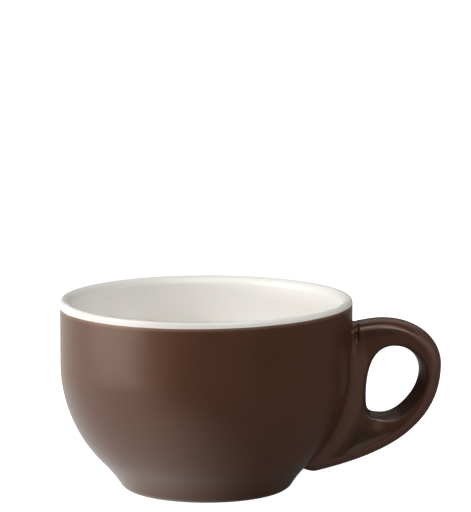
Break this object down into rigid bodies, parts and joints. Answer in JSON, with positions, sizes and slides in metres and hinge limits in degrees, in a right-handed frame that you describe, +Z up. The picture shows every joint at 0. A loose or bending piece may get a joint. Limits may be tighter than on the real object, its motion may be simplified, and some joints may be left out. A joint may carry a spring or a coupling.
{
  "type": "latte cup",
  "caption": "Round-bellied stoneware latte cup with a flared foot and a loop handle, brown glaze outside and white glaze inside.",
  "frame": {"origin": "middle of the foot ring, on the surface that the cup stands on", "axes": "+Z up along the axis of the bowl, +X from that axis towards the handle"},
  "size_m": [0.137, 0.105, 0.069],
  "materials": {
    "stoneware": "fired clay, dry",
    "slip": "fired slip, dry",
    "white_glaze": "glossy, warm white",
    "brown_glaze": "satin, dark brown"
  },
  "bodies": {
    "root": {"cup_body": "stoneware", "handle": "stoneware", "handle_slip": "slip", "liner_glaze": "white_glaze", "outer_glaze": "brown_glaze", "handle_glaze": "brown_glaze", "base_glaze": "brown_glaze"}
  },
  "joints": []
}
